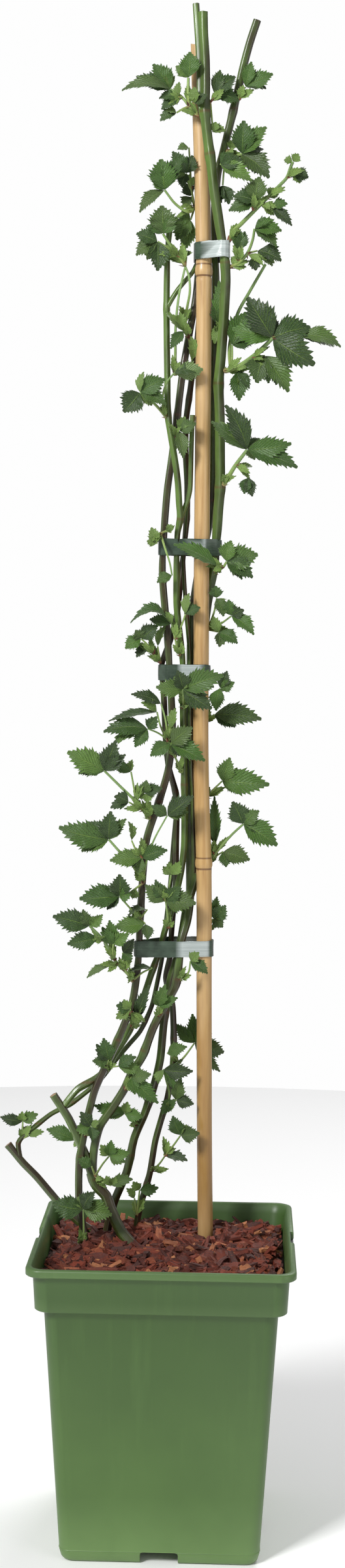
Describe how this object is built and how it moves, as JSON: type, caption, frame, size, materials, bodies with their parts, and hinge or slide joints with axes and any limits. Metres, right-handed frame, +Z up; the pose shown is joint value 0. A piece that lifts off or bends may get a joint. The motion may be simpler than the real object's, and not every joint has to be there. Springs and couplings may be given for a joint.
{
  "type": "potted plant",
  "caption": "Tall trellis-trained bramble plant in a square green nursery pot, its leafy canes taped to an upright bamboo support above a bark mulch.",
  "frame": {"origin": "centre of the pot's underside, on the surface it stands on", "axes": "+Z up the plant, -Y towards the pot's front side, +X to the right seen from the front"},
  "size_m": [0.2731, 0.21, 1.221],
  "materials": {
    "pot": "moulded, fine satin grain",
    "compost": "loose, moist, matte",
    "bark_mulch": "shredded bark, rough",
    "bamboo": "smooth natural cane, slight sheen",
    "cane_bark": "ridged young bark, satin",
    "tie_tape": "thin stretched tape, soft gloss",
    "leaf": "matte leaf, lighter underneath"
  },
  "bodies": {
    "root": {"bamboo_cane": "bamboo", "bark_mulch": "bark_mulch", "cane_cut": "cane_bark", "cane_dark": "cane_bark", "cane_green": "cane_bark", "cane_left": "cane_bark", "cane_low_left": "cane_bark", "cane_middle": "cane_bark", "cane_right": "cane_bark", "compost": "compost", "lateral_top_right": "leaf", "pot": "pot", "shoot_arch": "leaf", "shoot_bamboo_low": "leaf", "shoot_behind_bamboo": "leaf", "shoot_behind_stub": "leaf", "shoot_big_left": "leaf", "shoot_big_right": "leaf", "shoot_bright_low": "leaf", "shoot_bright_pair": "leaf", "shoot_cut_low": "leaf", "shoot_dark_low": "leaf", "shoot_dark_mid": "leaf", "shoot_dark_tip": "leaf", "shoot_foot_dark": "leaf", "shoot_foot_left": "leaf", "shoot_fork": "leaf", "shoot_front": "leaf", "shoot_green_low": "leaf", "shoot_hairy": "leaf", "shoot_inner": "leaf", "shoot_left_arm": "leaf", "shoot_left_curl": "leaf", "shoot_left_fan": "leaf", "shoot_left_low": "leaf", "shoot_left_mid": "leaf", "shoot_left_node": "leaf", "shoot_left_top_node": "leaf", "shoot_left_wing": "leaf", "shoot_low_left_tip": "leaf", "shoot_middle_low": "leaf", "shoot_middle_mid": "leaf", "shoot_over_tie": "leaf", "shoot_right_cluster": "leaf", "shoot_right_far": "leaf", "shoot_right_high": "leaf", "shoot_right_inner": "leaf", "shoot_right_low": "leaf", "shoot_right_mid": "leaf", "shoot_right_pair": "leaf", "shoot_stub": "leaf", "shoot_tie_left": "leaf", "shoot_tie_right": "leaf", "shoot_top_left": "leaf", "shoot_top_right": "leaf", "shoot_upper_right": "leaf", "tie_1_low": "tie_tape", "tie_2_middle": "tie_tape", "tie_3_upper": "tie_tape", "tie_4_top": "tie_tape"}
  },
  "joints": []
}
